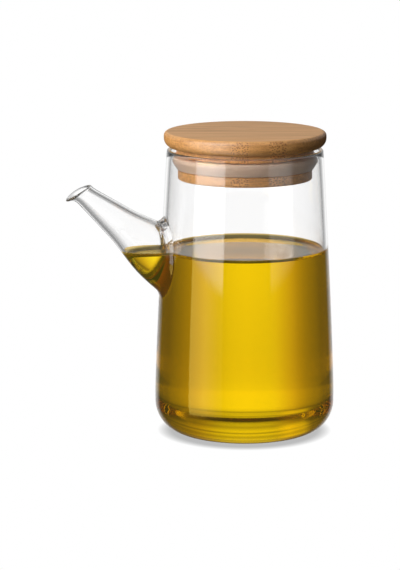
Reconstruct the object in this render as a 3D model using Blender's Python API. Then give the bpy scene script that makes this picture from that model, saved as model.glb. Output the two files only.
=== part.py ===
"""A glass oil and vinegar bottle with a pouring spout, a bamboo lid and its silicone seal, filled with oil.

Metres, +Z up. The origin is the centre of the flat base, on the body's axis, and the spout points along -X.
The body and its spout are one piece of glass. Their skin is worked out from two simple forms, a tapered
body and a cone, which meet in a rounded weld. The same rule, moved inwards, gives the inside and the oil.
"""

import math

import bmesh
import bpy
import numpy as np

# Glass body
FOOT_RADIUS = 0.0425
FOOT_HEIGHT = 0.0200
FOOT_ROUND = 0.0125
FOOT_ROUND_RISE = 0.0150
RIM_RADIUS = 0.0368
RIM_HEIGHT = 0.1353
BODY_TAPER_POWER = 1.22
WALL = 0.0022
FLOOR = 0.0048
FLOOR_ROUND = 0.0100

# Spout, measured along its own axis from where that axis crosses the body's wall
SPOUT_START = np.array([-0.0400, 0.0, 0.0856])
SPOUT_RISE = math.radians(39.3)
SPOUT_TAPER = math.tan(math.radians(8.8))
SPOUT_START_RADIUS = 0.0122
SPOUT_BULGE = 0.00165
SPOUT_BULGE_AT = 0.0040
SPOUT_BULGE_REACH = 0.0220
SPOUT_LENGTH = 0.0492
SPOUT_WALL = 0.0017
MOUTH_SLANT = 0.0021
LIP_LENGTH = 0.0080
LIP_POWER = 4.5
LIP_FLARE_TOP = 0.0005
LIP_FLARE_UNDER = 0.0029
LIP_THICKENING = 0.30
WELD_ROUND = 0.0024
WELD_ROUND_GROWTH = 0.5

# Oil
OIL_LEVEL = 0.0864

# Lid, turned from one block of bamboo. It stands a little above the rim, on its seal
LID_STAND = 0.0009
LID_RADIUS = 0.0382
LID_THICKNESS = 0.0074
LID_TOP_ROUND = 0.0020
LID_UNDER_ROUND = 0.0044
NECK_RADIUS = 0.0323
NECK_HEIGHT = 0.0036
GROOVE_RADIUS = 0.0295
GROOVE_HEIGHT = 0.0066
PLUG_RADIUS = 0.0316
PLUG_HEIGHT = 0.0046
PLUG_ROUND = 0.0008

# Silicone seal in the lid's groove
SEAL_LIP_RADIUS = 0.0343
SEAL_LIP_HEIGHT = 0.0016
SEAL_FOOT_RADIUS = 0.0320
SEAL_BULGE_POWER = 1.3

# Space between pieces that touch
GAP = 0.0003

# Fineness. The patch of wall that carries the spout has as many cells each way, and spans a sixth of the body
PATCH_CELLS = 10
PATCH_LOW = 0.0580
PATCH_HIGH = 0.1100
PATCHES_ROUND = 6
ROUND_STEPS = 5
WALL_STEPS = 2
NECK_STEPS = 1
WELD_STEPS = 6
COLLAR = 0.0080
SPOUT_STEPS = 7
SPOUT_CROWDING = 2.2
RIM_STEPS = 3
LID_COLUMNS = 60

SPOUT_ALONG = np.array([-math.cos(SPOUT_RISE), 0.0, math.sin(SPOUT_RISE)])
SPOUT_UP = np.array([math.sin(SPOUT_RISE), 0.0, math.cos(SPOUT_RISE)])
SIDEWAYS = np.array([0.0, 1.0, 0.0])
UP = np.array([0.0, 0.0, 1.0])


def clear_scene():
    """Removes every object, so that the file holds only the bottle."""
    for thing in list(bpy.data.objects):
        bpy.data.objects.remove(thing, do_unlink=True)


def make_material(name, colour, roughness, transmission=0.0, ior=1.47):
    """A plain Principled material."""
    material = bpy.data.materials.new(name)
    material.use_nodes = True
    shader = material.node_tree.nodes["Principled BSDF"]
    shader.inputs["Base Color"].default_value = (*colour, 1.0)
    shader.inputs["Roughness"].default_value = roughness
    shader.inputs["Metallic"].default_value = 0.0
    shader.inputs["Transmission Weight"].default_value = transmission
    shader.inputs["IOR"].default_value = ior
    material.diffuse_color = (*colour, 1.0)
    return material


def add_object(name, mesh, material):
    """Closes the work on a bmesh and puts it into the scene as one smooth-shaded object."""
    bmesh.ops.recalc_face_normals(mesh, faces=mesh.faces)
    data = bpy.data.meshes.new(name)
    mesh.to_mesh(data)
    mesh.free()
    data.shade_smooth()
    data.set_sharp_from_angle(angle=math.radians(40))
    data.materials.append(material)
    thing = bpy.data.objects.new(name, data)
    bpy.context.scene.collection.objects.link(thing)
    return thing


def arc(centre, radius, start, end, steps):
    """Points (r, z) on a circle from one angle to another, in degrees from the outward direction."""
    angles = np.radians(np.linspace(start, end, steps + 1))
    return [(centre[0] + radius * math.cos(a), centre[1] + radius * math.sin(a)) for a in angles]


def body_radius(height):
    """Outer radius of the body: widest at the foot, and narrowing upwards in a slightly bulging line."""
    rise = np.clip((height - FOOT_HEIGHT) / (RIM_HEIGHT - FOOT_HEIGHT), 0.0, 1.0)
    return FOOT_RADIUS - (FOOT_RADIUS - RIM_RADIUS) * rise**BODY_TAPER_POWER


def spout_inset(inset):
    """The spout's wall is thinner than the body's, so its skin moves in by less."""
    return inset * SPOUT_WALL / WALL


def spout_radius(along, inset):
    """Radius of the spout's skin without its lip: a cone with a soft bulge where it starts."""
    cone = SPOUT_START_RADIUS - SPOUT_TAPER * along
    place = np.clip((along - SPOUT_BULGE_AT) / SPOUT_BULGE_REACH, -1.0, 1.0)
    return cone + SPOUT_BULGE * np.cos(place * math.pi / 2.0) ** 2 - spout_inset(inset)


def mouth_along(side):
    """Distance along the axis of the mouth's slanting edge. side is 0 on top and pi on the underside."""
    return SPOUT_LENGTH - MOUTH_SLANT * np.cos(side)


def lip_flare(along, side, inset):
    """How far the skin turns outwards near the mouth: a little on top, and as a pouring lip underneath."""
    near_mouth = np.clip(1.0 - (mouth_along(side) - along) / LIP_LENGTH, 0.0, None)
    underside = ((1.0 - np.cos(side)) / 2.0) ** 1.5
    flare = LIP_FLARE_TOP + (LIP_FLARE_UNDER - LIP_FLARE_TOP) * underside
    return flare * (1.0 - LIP_THICKENING * inset / WALL) * near_mouth**LIP_POWER


def spout_outward(side):
    """Direction away from the spout's axis at an angle round it."""
    return np.outer(np.cos(side), SPOUT_UP) + np.outer(np.sin(side), SIDEWAYS)


def spout_points(along, side, inset):
    """Points on the spout's skin, moved inwards by the inset."""
    radius = spout_radius(along, inset) + lip_flare(along, side, inset)
    return SPOUT_START + np.outer(along, SPOUT_ALONG) + radius[:, None] * spout_outward(side)


def body_distance(points, inset):
    """Distance outside the body's skin."""
    return np.hypot(points[:, 0], points[:, 1]) - body_radius(points[:, 2]) + inset


def spout_distance(points, inset):
    """Distance outside the spout's skin, away from its mouth."""
    offset = points - SPOUT_START
    along = offset @ SPOUT_ALONG
    across = np.linalg.norm(offset - np.outer(along, SPOUT_ALONG), axis=1)
    return (across - spout_radius(along, inset)) / math.hypot(1.0, SPOUT_TAPER)


def vessel_distance(points, inset):
    """Distance outside body and spout together, joined by a weld that is rounded on both faces."""
    weld = WELD_ROUND + WELD_ROUND_GROWTH * inset
    body = body_distance(points, inset)
    spout = spout_distance(points, inset)
    corner = np.hypot(np.maximum(weld - body, 0.0), np.maximum(weld - spout, 0.0))
    return np.maximum(weld, np.minimum(body, spout)) - corner


def settle(points, inset):
    """Moves points that are near the vessel's skin straight onto it."""
    nudge = 1e-5
    for _ in range(20):
        ahead = [vessel_distance(points + nudge * axis, inset) for axis in np.eye(3)]
        behind = [vessel_distance(points - nudge * axis, inset) for axis in np.eye(3)]
        slope = (np.stack(ahead, axis=1) - np.stack(behind, axis=1)) / (2.0 * nudge)
        step = vessel_distance(points, inset) / np.maximum((slope**2).sum(axis=1), 0.25)
        points = points - step[:, None] * slope
    return points


def along_at_wall(side, inset):
    """Distance along the spout's axis at which each line of the cone leaves the body, by halving."""
    inside = np.full(len(side), -0.025)
    outside = np.full(len(side), 0.030)
    for _ in range(40):
        middle = (inside + outside) / 2.0
        is_out = body_distance(spout_points(middle, side, inset), inset) > 0.0
        outside = np.where(is_out, middle, outside)
        inside = np.where(is_out, inside, middle)
    return (inside + outside) / 2.0


def body_profile(inset):
    """Rows (r, z) of the body's skin from its foot to the rim, and the patch's first and last row."""
    floor = FLOOR + inset - WALL if inset else 0.0
    reach, rise = (FLOOR_ROUND, FLOOR_ROUND) if inset else (FOOT_ROUND, FOOT_ROUND_RISE)
    flat = FOOT_RADIUS - inset - reach
    turns = np.radians(np.linspace(0.0, 90.0, ROUND_STEPS + 1))
    rows = [(flat + reach * math.sin(turn), floor + rise * (1.0 - math.cos(turn))) for turn in turns]
    heights = list(np.linspace(FOOT_HEIGHT, PATCH_LOW, WALL_STEPS + 1))
    low = len(rows) + len(heights) - 1
    heights += list(np.linspace(PATCH_LOW, PATCH_HIGH, PATCH_CELLS + 1))[1:]
    high = len(rows) + len(heights) - 1
    heights += list(np.linspace(PATCH_HIGH, RIM_HEIGHT - WALL / 2.0, NECK_STEPS + 1))[1:]
    rows += [(float(body_radius(height)) - inset, height) for height in heights]
    return rows, low, high


def add_ring(mesh, points):
    """New vertices at the points, in order."""
    return [mesh.verts.new(point) for point in points]


def join_rings(mesh, first, second):
    """A band of four-sided faces between two closed rings of as many vertices."""
    count = len(first)
    for here in range(count):
        after = (here + 1) % count
        mesh.faces.new((first[here], first[after], second[after], second[here]))


def close_ring(mesh, ring):
    """A fan of faces that closes a flat round ring."""
    centre = sum((vertex.co for vertex in ring), start=ring[0].co * 0.0) / len(ring)
    hub = mesh.verts.new(centre)
    for here, vertex in enumerate(ring):
        mesh.faces.new((vertex, ring[(here + 1) % len(ring)], hub))


def add_body_skin(mesh, inset):
    """The body's skin, closed below, with its patch left open. Returns the rim and the edge of the patch."""
    rows, low, high = body_profile(inset)
    columns = PATCH_CELLS * PATCHES_ROUND
    grid = []
    for row, (radius, height) in enumerate(rows):
        ring = []
        for column in range(columns):
            if low < row < high and 0 < column < PATCH_CELLS:
                ring.append(None)
                continue
            turn = 2.0 * math.pi * (column - PATCH_CELLS / 2.0) / columns
            ring.append(mesh.verts.new((-radius * math.cos(turn), radius * math.sin(turn), height)))
        grid.append(ring)
    for row in range(len(rows) - 1):
        for column in range(columns):
            if low <= row < high and column < PATCH_CELLS:
                continue
            after = (column + 1) % columns
            corners = (grid[row][column], grid[row][after], grid[row + 1][after], grid[row + 1][column])
            mesh.faces.new(corners)
    close_ring(mesh, grid[0])
    return grid[-1], patch_edge(grid, low, high)


def patch_edge(grid, low, high):
    """The edge of the open patch as one ring that starts at the middle of its top."""
    middle = PATCH_CELLS // 2
    ring = grid[high][middle:PATCH_CELLS]
    ring += [grid[row][PATCH_CELLS] for row in range(high, low, -1)]
    ring += [grid[low][column] for column in range(PATCH_CELLS, 0, -1)]
    ring += [grid[row][0] for row in range(low, high)]
    ring += grid[high][0:middle]
    return ring


def add_spout_skin(mesh, edge, inset):
    """The skin from the patch's edge over the weld and along the spout. Returns the ring at the mouth."""
    side = 2.0 * math.pi * np.arange(len(edge)) / len(edge)
    start = np.array([vertex.co for vertex in edge])
    leaves = along_at_wall(side, inset)
    corner = spout_points(leaves, side, inset)
    collar = spout_points(leaves + COLLAR, side, inset)
    ring = edge
    for part in np.linspace(0.0, 1.0, WELD_STEPS + 1)[1:]:
        bend = (1.0 - part) ** 2 * start + 2.0 * part * (1.0 - part) * corner + part**2 * collar
        wider = add_ring(mesh, settle(bend, inset))
        join_rings(mesh, ring, wider)
        ring = wider
    for part in 1.0 - np.linspace(1.0, 0.0, SPOUT_STEPS + 1)[1:] ** SPOUT_CROWDING:
        along = (1.0 - part) * (leaves + COLLAR) + part * mouth_along(side)
        further = add_ring(mesh, spout_points(along, side, inset))
        join_rings(mesh, ring, further)
        ring = further
    return ring


def add_vessel_skin(mesh, inset):
    """The whole skin of body and spout. Returns its two open rings, at the rim and at the mouth."""
    rim, edge = add_body_skin(mesh, inset)
    mouth = add_spout_skin(mesh, edge, inset)
    return rim, mouth


def add_round_edge(mesh, outer, inner, forward):
    """Joins an outer and an inner ring by half-round glass that stands forward of them."""
    outside = np.array([vertex.co for vertex in outer])
    inside = np.array([vertex.co for vertex in inner])
    middle = (outside + inside) / 2.0
    reach = (outside - inside) / 2.0
    depth = np.linalg.norm(reach, axis=1)[:, None]
    ring = outer
    for turn in np.linspace(0.0, math.pi, RIM_STEPS + 1)[1:-1]:
        following = add_ring(mesh, middle + math.cos(turn) * reach + math.sin(turn) * depth * forward)
        join_rings(mesh, ring, following)
        ring = following
    join_rings(mesh, ring, inner)


def lip_forward(count):
    """Direction in which the glass runs on at the mouth, all round it."""
    side = 2.0 * math.pi * np.arange(count) / count
    step = 1e-4
    before = spout_points(mouth_along(side) - step, side, WALL / 2.0)
    after = spout_points(mouth_along(side), side, WALL / 2.0)
    return (after - before) / np.linalg.norm(after - before, axis=1)[:, None]


def make_glass():
    """Body and spout as one piece of clear glass."""
    mesh = bmesh.new()
    outer_rim, outer_mouth = add_vessel_skin(mesh, 0.0)
    inner_rim, inner_mouth = add_vessel_skin(mesh, WALL)
    add_round_edge(mesh, outer_rim, inner_rim, UP)
    add_round_edge(mesh, outer_mouth, inner_mouth, lip_forward(len(outer_mouth)))
    material = make_material("clear_glass", (0.95, 0.97, 0.97), 0.02, transmission=1.0)
    return add_object("glass_bottle", mesh, material)


def make_oil():
    """The oil: the inside of the vessel, a little smaller, cut off level."""
    mesh = bmesh.new()
    rim, mouth = add_vessel_skin(mesh, WALL + GAP)
    close_ring(mesh, rim)
    close_ring(mesh, mouth)
    everything = list(mesh.verts) + list(mesh.edges) + list(mesh.faces)
    bmesh.ops.bisect_plane(
        mesh,
        geom=everything,
        dist=1e-7,
        plane_co=(0.0, 0.0, OIL_LEVEL),
        plane_no=(0.0, 0.0, 1.0),
        clear_outer=True,
    )
    waterline = [edge for edge in mesh.edges if edge.is_boundary]
    bmesh.ops.edgeloop_fill(mesh, edges=waterline)
    material = make_material("oil", (0.80, 0.58, 0.01), 0.02, transmission=1.0)
    return add_object("oil", mesh, material)


def turn_profile(mesh, profile, is_ring=False):
    """Turns points (r, z) round Z. The profile starts and ends on the axis, unless it is that of a ring."""
    rings = []
    for radius, height in profile:
        if radius < 1e-6:
            rings.append([mesh.verts.new((0.0, 0.0, height))])
            continue
        turns = [2.0 * math.pi * column / LID_COLUMNS for column in range(LID_COLUMNS)]
        points = [(radius * math.cos(turn), radius * math.sin(turn), height) for turn in turns]
        rings.append(add_ring(mesh, points))
    pairs = list(zip(rings, rings[1:]))
    if is_ring:
        pairs.append((rings[-1], rings[0]))
    for first, second in pairs:
        if len(first) == len(second):
            join_rings(mesh, first, second)
            continue
        hub, ring = (first[0], second) if len(first) == 1 else (second[0], first)
        for here, vertex in enumerate(ring):
            mesh.faces.new((vertex, ring[(here + 1) % len(ring)], hub))


def lid_heights():
    """Heights of the lid's steps, from its top down."""
    underside = RIM_HEIGHT + LID_STAND
    top = underside + LID_THICKNESS
    groove_top = underside - NECK_HEIGHT
    groove_bottom = groove_top - GROOVE_HEIGHT
    plug_bottom = groove_bottom - PLUG_HEIGHT
    return top, underside, groove_top, groove_bottom, plug_bottom


def make_lid():
    """The bamboo lid: a disc on the rim, a neck, a groove for the seal and a plug below it."""
    top, underside, groove_top, groove_bottom, plug_bottom = lid_heights()
    upper = (LID_RADIUS - LID_TOP_ROUND, top - LID_TOP_ROUND)
    lower = (LID_RADIUS - LID_UNDER_ROUND, underside + LID_UNDER_ROUND)
    foot = (PLUG_RADIUS - PLUG_ROUND, plug_bottom + PLUG_ROUND)
    profile = [(0.0, top)]
    profile += arc(upper, LID_TOP_ROUND, 90.0, 0.0, 4)
    profile += arc(lower, LID_UNDER_ROUND, 0.0, -90.0, 4)
    profile += [(NECK_RADIUS, underside), (NECK_RADIUS, groove_top)]
    profile += [(GROOVE_RADIUS, groove_top), (GROOVE_RADIUS, groove_bottom)]
    profile += [(PLUG_RADIUS, groove_bottom)]
    profile += arc(foot, PLUG_ROUND, 0.0, -90.0, 2)
    profile += [(0.0, plug_bottom)]
    mesh = bmesh.new()
    turn_profile(mesh, profile)
    material = make_material("bamboo", (0.52, 0.28, 0.11), 0.55)
    return add_object("bamboo_lid", mesh, material)


def make_seal():
    """The silicone ring: a lip that reaches out to the glass, sloping in to the plug below."""
    _, _, groove_top, groove_bottom, _ = lid_heights()
    inner = GROOVE_RADIUS + GAP
    top = groove_top - GAP
    bottom = groove_bottom + GAP
    belly = top - SEAL_LIP_HEIGHT
    profile = [(inner, top), (SEAL_LIP_RADIUS - 0.0004, top), (SEAL_LIP_RADIUS, top - 0.0004)]
    for part in np.linspace(0.0, 1.0, 6):
        radius = SEAL_LIP_RADIUS - (SEAL_LIP_RADIUS - SEAL_FOOT_RADIUS) * part**SEAL_BULGE_POWER
        profile.append((radius, belly - (belly - bottom) * part))
    profile += [(inner, bottom)]
    mesh = bmesh.new()
    turn_profile(mesh, profile, is_ring=True)
    material = make_material("silicone", (0.60, 0.55, 0.50), 0.45)
    return add_object("silicone_seal", mesh, material)


def main():
    clear_scene()
    make_glass()
    make_oil()
    make_lid()
    make_seal()


main()
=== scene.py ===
"""Looks of the glass oil and vinegar bottle: clear glass, golden oil, a bamboo lid and its silicone seal."""

import math

import bmesh
import bpy
import numpy as np
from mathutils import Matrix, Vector


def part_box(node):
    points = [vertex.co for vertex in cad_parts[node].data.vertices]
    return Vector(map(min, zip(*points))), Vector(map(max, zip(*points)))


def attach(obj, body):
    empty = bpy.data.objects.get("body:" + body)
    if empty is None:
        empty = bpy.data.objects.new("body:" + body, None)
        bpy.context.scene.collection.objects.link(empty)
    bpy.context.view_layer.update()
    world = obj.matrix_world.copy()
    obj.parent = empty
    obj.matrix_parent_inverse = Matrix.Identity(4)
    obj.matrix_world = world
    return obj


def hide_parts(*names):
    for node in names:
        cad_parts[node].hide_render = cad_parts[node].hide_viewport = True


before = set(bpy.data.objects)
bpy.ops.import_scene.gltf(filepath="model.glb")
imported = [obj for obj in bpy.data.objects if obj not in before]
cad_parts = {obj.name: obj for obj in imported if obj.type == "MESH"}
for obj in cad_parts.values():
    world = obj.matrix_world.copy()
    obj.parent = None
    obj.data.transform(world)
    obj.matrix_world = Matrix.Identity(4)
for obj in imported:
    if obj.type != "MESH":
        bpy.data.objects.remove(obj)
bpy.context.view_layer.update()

# Heights and widths that the frame gives: the high corner of each solid's box
GLASS_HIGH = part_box("glass_bottle")[1]
OIL_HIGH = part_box("oil")[1]
LID_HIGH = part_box("bamboo_lid")[1]
SEAL_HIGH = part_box("silicone_seal")[1]

# Glass body
FOOT_RADIUS = GLASS_HIGH[1]
RIM_HEIGHT = GLASS_HIGH[2]
FOOT_HEIGHT = 0.0200
FOOT_ROUND = 0.0138
FOOT_ROUND_RISE = 0.0150
RIM_RADIUS = 0.0368
BODY_TAPER_POWER = 1.22
WALL = 0.0022
FLOOR = 0.0048
FLOOR_ROUND = 0.0100
PUNT_DEPTH = 0.0008
PUNT_RADIUS = 0.0270

# Spout, measured along its own axis from where that axis crosses the body's wall
SPOUT_START = np.array([-0.0400, 0.0, 0.0856])
SPOUT_RISE = math.radians(39.3)
SPOUT_TAPER = math.tan(math.radians(8.8))
SPOUT_START_RADIUS = 0.0122
SPOUT_BULGE = 0.00165
SPOUT_BULGE_AT = 0.0040
SPOUT_BULGE_REACH = 0.0220
SPOUT_LENGTH = 0.0492
SPOUT_WALL = 0.0017
MOUTH_SLANT = 0.0021
LIP_LENGTH = 0.0080
LIP_POWER = 4.5
LIP_FLARE_TOP = 0.0005
LIP_FLARE_UNDER = 0.0029
LIP_UNDER_POWER = 1.5
LIP_THICKENING = 0.30
WELD_ROUND = 0.0024
WELD_ROUND_GROWTH = -0.6

# Oil: it reaches just into the wall, and climbs a little way up it
OIL_LEVEL = OIL_HIGH[2]
OIL_INTO_WALL = 0.0003
CAPILLARY_LENGTH = 0.00189
CONTACT_ANGLE = math.radians(18.0)
MENISCUS_HEIGHT = CAPILLARY_LENGTH * math.sqrt(2.0 * (1.0 - math.sin(CONTACT_ANGLE)))
MENISCUS_STEPS = 16
WETTED_HEIGHT = OIL_LEVEL + MENISCUS_HEIGHT

# Looks of the glass and the oil. Oil bends light as much as glass does, so the skin between them bends none
GLASS_IOR = 1.47
WETTED_IOR = 1.0
GLASS_GLOW = 0.0022
OIL_TINT = (0.99, 0.735, 0.30, 1.0)
OIL_COLOUR = (0.9888, 0.9808, 0.46, 1.0)
OIL_DENSITY = 250.0
OIL_GLOW = (0.62, 0.84, 0.04, 1.0)
OIL_GLOW_STRENGTH = 0.010

# Lid, turned from one block of bamboo
LID_RADIUS = LID_HIGH[0]
LID_THICKNESS = 0.0074
LID_TOP_ROUND = 0.0020
LID_UNDER_ROUND = 0.0044
NECK_RADIUS = 0.0323
NECK_HEIGHT = 0.0036
GROOVE_RADIUS = 0.0295
GROOVE_HEIGHT = 0.0066
PLUG_RADIUS = 0.0316
PLUG_HEIGHT = 0.0046
PLUG_ROUND = 0.0008
TURNED_EDGE = 0.0003

# Silicone seal in the lid's groove
SEAL_LIP_RADIUS = SEAL_HIGH[0]
SEAL_LIP_HEIGHT = 0.0016
SEAL_FOOT_RADIUS = 0.0320
SEAL_BULGE_POWER = 1.3
SEAL_EDGE = 0.0004
GAP = 0.0003

# Fineness of the meshes
PATCH_CELLS = 36
PATCH_LOW = 0.0580
PATCH_HIGH = 0.1100
PATCHES_ROUND = 6
ROUND_STEPS = 18
WALL_STEPS = 10
NECK_STEPS = 8
WELD_STEPS = 22
COLLAR = 0.0080
SPOUT_STEPS = 30
SPOUT_CROWDING = 2.0
RIM_STEPS = 10
FLAT_STEPS = 8
LID_COLUMNS = 256
LID_TOP_STEPS = 10
LID_UNDER_STEPS = 12
EDGE_STEPS = 4
SEAL_POINTS = 16
ON_AXIS = 1e-6
CUT_TOLERANCE = 1e-7

# Search for the skin near the weld, and for where the spout leaves the body
SETTLE_NUDGE = 1e-5
SETTLE_ROUNDS = 20
LEAST_SLOPE_SQUARED = 0.25
LEAVES_AFTER = -0.025
LEAVES_BEFORE = 0.030
HALVINGS = 40

# Looks of the bamboo, as linear colours
BAMBOO_LIGHT = (0.68, 0.345, 0.115, 1.0)
BAMBOO_DARK = (0.43, 0.195, 0.052, 1.0)
BAMBOO_WARM = (0.60, 0.275, 0.065, 1.0)
BAMBOO_SPECK = (0.23, 0.078, 0.012, 1.0)
# Painted light and sheen: the neck, groove and plug below the lid's disc are given a lighter colour, fading
# in over PLUG_FADE
PLUG_PAINTED_LIGHT = (1.40, 1.38, 1.25, 1.0)
PLUG_FADE = 0.0030
# Painted sheen: the lid's top face is given a paler, greyer colour that stands in for the sheen lying on it
TOP_PAINTED_SHEEN = (1.30, 1.38, 1.55, 1.0)
BAMBOO_SHINE = 1.0
BAMBOO_ROUGHNESS = (0.48, 0.38)
ROUGH_RANGE = (0.3, 0.7)
BUMP_STRENGTH = 0.25
BUMP_DEPTH = 0.00012
SPECK_DEPTH = 0.6

# Pattern of the bamboo: cells per metre across, in depth and in height, and the part of each noise that shows
GRAIN_CELLS = (26.0, 620.0, 620.0)
GRAIN_RANGE = (0.36, 0.62)
BROAD_CELLS = (14.0, 120.0, 60.0)
BROAD_RANGE = (0.35, 0.70)
BROAD_STRENGTH = 0.45
LINE_CELLS = (9.0, 230.0, 60.0)
LINE_SHIFT = (3.1, 0.7, 0.0)
LINE_RANGE = (0.50, 0.66)
LINE_STRENGTH = 0.40
STREAK_CELLS = (90.0, 200.0, 1500.0)
STREAK_RANGE = (0.46, 0.66)
STREAK_STRENGTH = 0.40
KNUCKLE_CELLS = (60.0, 330.0, 60.0)
KNUCKLE_SHIFT = (7.3, 1.4, 0.0)
KNUCKLE_RANGE = (0.50, 0.72)
KNUCKLE_STRENGTH = 0.45
SPECKS_ACROSS = 820.0
SPECKS_UP = 1050.0
SPECK_SCATTER = 0.9
SPECK_RANGE = (0.18, 0.46)
SPECK_STRENGTH = 0.85
SPECKS_ELSEWHERE = 0.22
SPECKS_LEAST = 0.28
STRIP_PAIR = 0.0174
STRIP_EDGE = -0.0075
LEVEL_FACING = 0.95
SLOPING_FACING = 0.70

# Places of the bamboo's pattern: where each starts and ends, and how soft its edges are
SPECKLED_STRIP = (0.02, 0.50, 0.02)
SPECKLED_FRONT = (-0.0095, 0.0210, 0.0015)
KNUCKLE_ACROSS = (-0.026, 0.002, 0.006)
KNUCKLE_DEEP = (-0.004, 0.026, 0.008)

# Looks of the silicone
SILICONE_DARK = (0.72, 0.50, 0.355, 1.0)
SILICONE_LIGHT = (0.90, 0.655, 0.48, 1.0)
SILICONE_ROUGHNESS = (0.34, 0.46)
SILICONE_IOR = 1.41
SILICONE_SCATTER = 0.12
SILICONE_SCATTER_TINT = (1.0, 0.85, 0.7)
SILICONE_SCATTER_REACH = 0.0015
BLOOM_CELLS = 260.0

# Studio floor, and the shade close to what stands on it
STUDIO_HALF = 12.0
STUDIO_DROP = 0.0003
CONTACT_REACH = 0.0055
CONTACT_CLOSED = 0.25
CONTACT_SHADE = 0.50
CONTACT_SAMPLES = 32

# Backdrop: brightness by degrees aside from the way the camera looks, and by degrees of rise
BACKDROP = (
    (0.0, 1.0), (8.0, 0.95), (13.0, 0.88), (16.0, 0.79), (20.0, 0.68), (25.0, 0.50), (30.0, 0.37),
    (35.0, 0.29), (40.0, 0.24), (48.0, 0.15), (60.0, 0.13), (72.0, 0.14), (96.0, 0.22), (130.0, 0.95),
    (180.0, 1.0),
)
RISE_LIMIT = 40.0
BACKDROP_RISE = (
    (-39.0, 0.09), (-33.0, 0.18), (-27.0, 0.38), (-18.0, 0.55), (-15.6, 0.63), (-13.4, 0.77), (-11.6, 0.84),
    (-9.0, 0.86), (2.0, 0.86), (5.6, 0.74), (7.9, 0.44), (9.1, 0.38), (9.7, 0.62), (10.5, 0.64), (11.2, 0.42),
    (12.3, 0.76), (13.1, 0.34), (13.7, 0.64), (14.4, 0.72), (15.2, 0.64), (16.3, 0.54), (18.0, 0.40),
    (19.2, 0.44), (21.5, 0.54), (24.5, 0.52), (28.0, 0.40), (32.0, 0.22), (40.0, 0.15),
)
BACKDROP_GLOW = 1.5

# What dry glass shows of the backdrop. The near side is where the camera stands
DRY_LIMIT = 1.07
DRY_LEAST = 0.30
DRY_NEAR_SIDE = 0.30
NEAR_SIDE = (90.0, 110.0)
DIM_ABOVE = 0.33
DIM_ABOVE_RISE = (0.0, 6.0)

# What the oil shows of it. Three numbers for a place are where it starts, where it ends and how soft it is
BACKDROP_WARMTH = (1.0, 0.80, 0.60, 1.0)
WARM_ASIDE = (17.0, 63.0, 9.0)
DIM_SIDE = 0.09
DIM_TURN = (9.0, 26.0, 6.0)
FAR_WINDOW = 0.44
FAR_WINDOW_COLOUR = (1.0, 0.92, 0.80, 1.0)
FAR_WINDOW_TURN = (-34.0, -17.0, 5.0)
FAR_WINDOW_RISE = (10.0, 19.0, 3.0)

# Skins that a ray crosses in dry glass at most, and through oil, and what is left after a reflection inside
DRY_CROSSINGS = 4.5
OIL_CROSSINGS = 6.0
CROSSINGS_BY_REFLECTION = 4.0
REFLECTED_DIM = (0.31, 0.37, 0.31)

# Softboxes
LEFT_SOFTBOX = 4.3
LEFT_SOFTBOX_UPPER = 0.78
LEFT_SOFTBOX_TURN = (-150.0, -103.0, 1.0)
LEFT_SOFTBOX_FADE = (-145.0, -126.0, 0.2, 1.0)
RIGHT_SOFTBOX = 0.9
RIGHT_SOFTBOX_LOWER = 0.12
RIGHT_SOFTBOX_TURN = (108.0, 146.0, 1.5)
SOFTBOX_RISE = (-16.0, 30.0, 2.0)
SOFTBOX_UPPER_RISE = (-5.6, -4.9)
SOFTBOX_LOWER_TINT = (1.0, 0.75, 0.16, 1.0)

# What smooth skins mirror besides, and what wood and silicone softly mirror
MIRRORED_DARK = 0.03
MIRRORED_SKY = 0.75
MIRRORED_SKY_RISE = (2.0, 12.0)
MIRRORED_GLOW_ASIDE = (24.0, 38.0)
MIRRORED_GLOW_RISE = (-32.0, -18.0)
MIRRORED_LOW = 0.12
SHEEN_LIGHT = 3.0
SHEEN_TURN = (-155.0, -98.0, 9.0)
SHEEN_SKY = 0.50
SHEEN_SKY_RISE = (0.0, 12.0)

# Light on wood and silicone
KEY_DIRECTION = (-0.680, -0.630, 0.375)
KEY_SHARPNESS = 10.0
KEY_STRENGTH = 8.8
AMBIENT = 0.08

# Light paths. Any diffuse bounce counts as more than NO_BOUNCE
CLEAR_BOUNCES = 96
GLOSSY_BOUNCES = 16
NO_BOUNCE = 0.5

# Directions
SPOUT_ALONG = np.array([-math.cos(SPOUT_RISE), 0.0, math.sin(SPOUT_RISE)])
SPOUT_UP = np.array([math.sin(SPOUT_RISE), 0.0, math.cos(SPOUT_RISE)])
SIDEWAYS = np.array([0.0, 1.0, 0.0])
UP = np.array([0.0, 0.0, 1.0])

# Camera, found from the outlines in the photograph
VIEW_AZIMUTH = math.radians(-10.0)
VIEW_DISTANCE = 1.29592
VIEW_HEIGHT = 0.31704
AIM_SIDE = -0.02119
AIM_HEIGHT = 0.0700
PHOTO_HEIGHT = 570
FOCAL_PIXELS = 2781.62
SENSOR = 36.0
VIEW_NEAREST = 0.05
VIEW_FARTHEST = 50.0


def body_radius(height):
    """Outer radius of the body: widest at the foot, and narrowing upwards in a slightly bulging line."""
    rise = np.clip((height - FOOT_HEIGHT) / (RIM_HEIGHT - FOOT_HEIGHT), 0.0, 1.0)
    return FOOT_RADIUS - (FOOT_RADIUS - RIM_RADIUS) * rise**BODY_TAPER_POWER


def spout_inset(inset):
    """The spout's wall is thinner than the body's, so its skin moves in by less."""
    return inset * SPOUT_WALL / WALL


def spout_radius(along, inset):
    """Radius of the spout's skin without its lip: a cone with a soft bulge where it starts."""
    cone = SPOUT_START_RADIUS - SPOUT_TAPER * along
    place = np.clip((along - SPOUT_BULGE_AT) / SPOUT_BULGE_REACH, -1.0, 1.0)
    return cone + SPOUT_BULGE * np.cos(place * math.pi / 2.0) ** 2 - spout_inset(inset)


def mouth_along(side):
    """Distance along the axis of the mouth's slanting edge. side is 0 on top and pi on the underside."""
    return SPOUT_LENGTH - MOUTH_SLANT * np.cos(side)


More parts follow.
